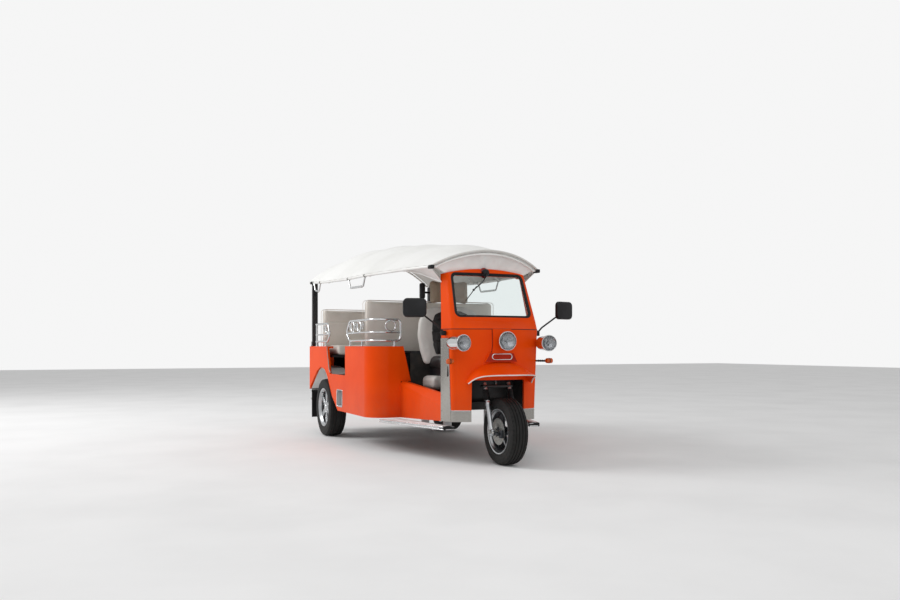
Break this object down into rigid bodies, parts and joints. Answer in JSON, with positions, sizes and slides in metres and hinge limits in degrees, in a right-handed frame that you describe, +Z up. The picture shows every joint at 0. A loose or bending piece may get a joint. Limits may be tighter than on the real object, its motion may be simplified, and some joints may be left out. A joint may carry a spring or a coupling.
{
  "type": "auto rickshaw",
  "caption": "Electric auto rickshaw with an open passenger body, facing benches, a raked windshield, a handlebar and fork in front and an arched fabric roof.",
  "frame": {"origin": "on the ground under the middle of the whole vehicle", "axes": "+X to the vehicle's left, +Y to its rear (it faces -Y), +Z up"},
  "size_m": [1.524, 3.59, 1.9599],
  "materials": {
    "orange_paint": "gloss",
    "black_paint": "satin",
    "white_paint": "satin",
    "bright_steel": "brushed",
    "chrome_plate": "polished",
    "aluminium_sheet": "satin",
    "cast_alloy": "satin",
    "black_plastic": "matte",
    "rubber_black": "matte",
    "tyre_rubber": "matte",
    "clear_glass": "clear",
    "lens_glass": "clear",
    "lamp_plastic": "gloss",
    "seat_vinyl": "satin",
    "roof_fabric": "matte",
    "floor_steel": "satin"
  },
  "bodies": {
    "body": {"chassis_frame": "black_paint", "rear_axle": "black_paint", "leaf_springs": "black_paint", "drive_motor": "cast_alloy", "battery_box": "black_paint", "cab_floor": "floor_steel", "wheel_housing": "black_paint", "nose_panel": "orange_paint", "nose_centre": "orange_paint", "mudguard": "orange_paint", "steel_plates": "bright_steel", "windshield_surround": "orange_paint", "windshield_seal": "rubber_black", "windshield_glass": "clear_glass", "lamp_buckets": "chrome_plate", "lamp_lenses": "lens_glass", "indicators": "lamp_plastic", "mirrors": "black_plastic", "wiper": "black_plastic", "dash_panel": "black_plastic", "driver_seat_base": "black_paint", "driver_cushion": "seat_vinyl", "driver_backrest": "seat_vinyl", "side_sills": "orange_paint", "running_boards": "aluminium_sheet", "mid_panels": "orange_paint", "rear_fenders": "orange_paint", "wheel_liners": "white_paint", "step_recesses": "aluminium_sheet", "tail_panel": "orange_paint", "tail_lamps": "lamp_plastic", "rear_bumper": "chrome_plate", "mudflaps": "rubber_black", "passenger_floor": "floor_steel", "bench_plinths": "black_paint", "mid_cushion": "seat_vinyl", "mid_back": "seat_vinyl", "rear_cushion": "seat_vinyl", "rear_back": "seat_vinyl", "armrest_rails": "chrome_plate", "canopy": "roof_fabric", "roof_frame": "white_paint", "rear_posts": "black_paint", "front_fascia": "white_paint", "grab_handles": "chrome_plate"},
    "steering": {"fork": "cast_alloy", "fork_gaiters": "rubber_black", "front_axle": "bright_steel", "handlebar": "black_paint", "handlebar_grips": "rubber_black"},
    "front_wheel": {"front_tyre": "tyre_rubber", "front_rim": "cast_alloy"},
    "rear_wheel_right": {"rear_tyre_right": "tyre_rubber", "rear_rim_right": "cast_alloy"},
    "rear_wheel_left": {"rear_tyre_left": "tyre_rubber", "rear_rim_left": "cast_alloy"}
  },
  "joints": [
    {"name": "steer", "type": "hinge", "parent": "body", "child": "steering", "pos_m": [0, -1.49, 0.26], "axis": [0, 0.309, 0.9511], "range_deg": [-35, 35]},
    {"name": "front_spin", "type": "hinge", "parent": "steering", "child": "front_wheel", "pos_m": [0, -1.535, 0.26], "axis": [1, 0, 0], "continuous": true},
    {"name": "rear_right_spin", "type": "hinge", "parent": "body", "child": "rear_wheel_right", "pos_m": [-0.6555, 1.115, 0.293], "axis": [1, 0, 0], "continuous": true},
    {"name": "rear_left_spin", "type": "hinge", "parent": "body", "child": "rear_wheel_left", "pos_m": [0.6555, 1.115, 0.293], "axis": [1, 0, 0], "continuous": true}
  ]
}
